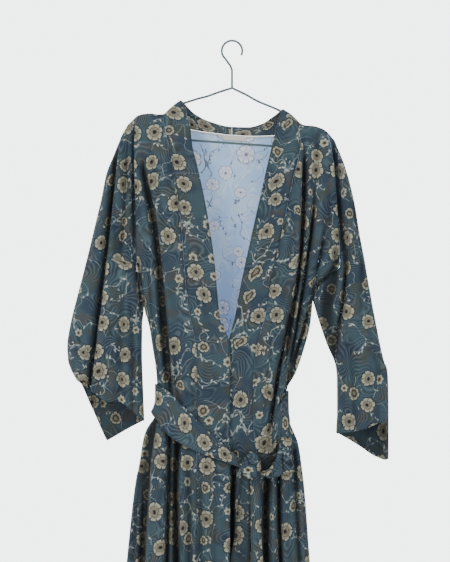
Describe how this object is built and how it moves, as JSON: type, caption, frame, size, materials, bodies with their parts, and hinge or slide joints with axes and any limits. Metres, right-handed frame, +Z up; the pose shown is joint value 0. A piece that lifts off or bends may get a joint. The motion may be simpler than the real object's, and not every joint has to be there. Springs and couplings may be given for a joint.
{
  "type": "kimono robe on a hanger",
  "caption": "Printed cotton kimono robe with wide open sleeves and a neck band, tied with its belt in a half bow and hanging on a coated wire hanger.",
  "frame": {"origin": "top of the inside of the hook, where a rail carries the hanger", "axes": "+Z up, the front faces -Y, +X to the viewer's right"},
  "size_m": [0.6581, 0.1384, 1.3784],
  "materials": {
    "printed_cotton": "soft matt printed plain weave",
    "sleeve_cotton": "soft matt printed plain weave",
    "facing_cotton": "soft matt printed plain weave",
    "band_cotton": "soft matt printed plain weave",
    "belt_cotton": "soft matt printed plain weave",
    "cream_tape": "plain cream woven tape",
    "wire_coating": "smooth dark teal coating on steel wire"
  },
  "bodies": {
    "root": {"front_left": "printed_cotton", "front_right": "printed_cotton", "back": "printed_cotton", "sleeve_left": "sleeve_cotton", "sleeve_right": "sleeve_cotton", "facing_left": "facing_cotton", "facing_right": "facing_cotton", "band_left": "band_cotton", "band_right": "band_cotton", "neck_label": "cream_tape", "belt": "belt_cotton", "bow_loop": "belt_cotton", "tail_left": "belt_cotton", "tail_right": "belt_cotton", "knot": "belt_cotton", "hanger": "wire_coating"}
  },
  "joints": []
}
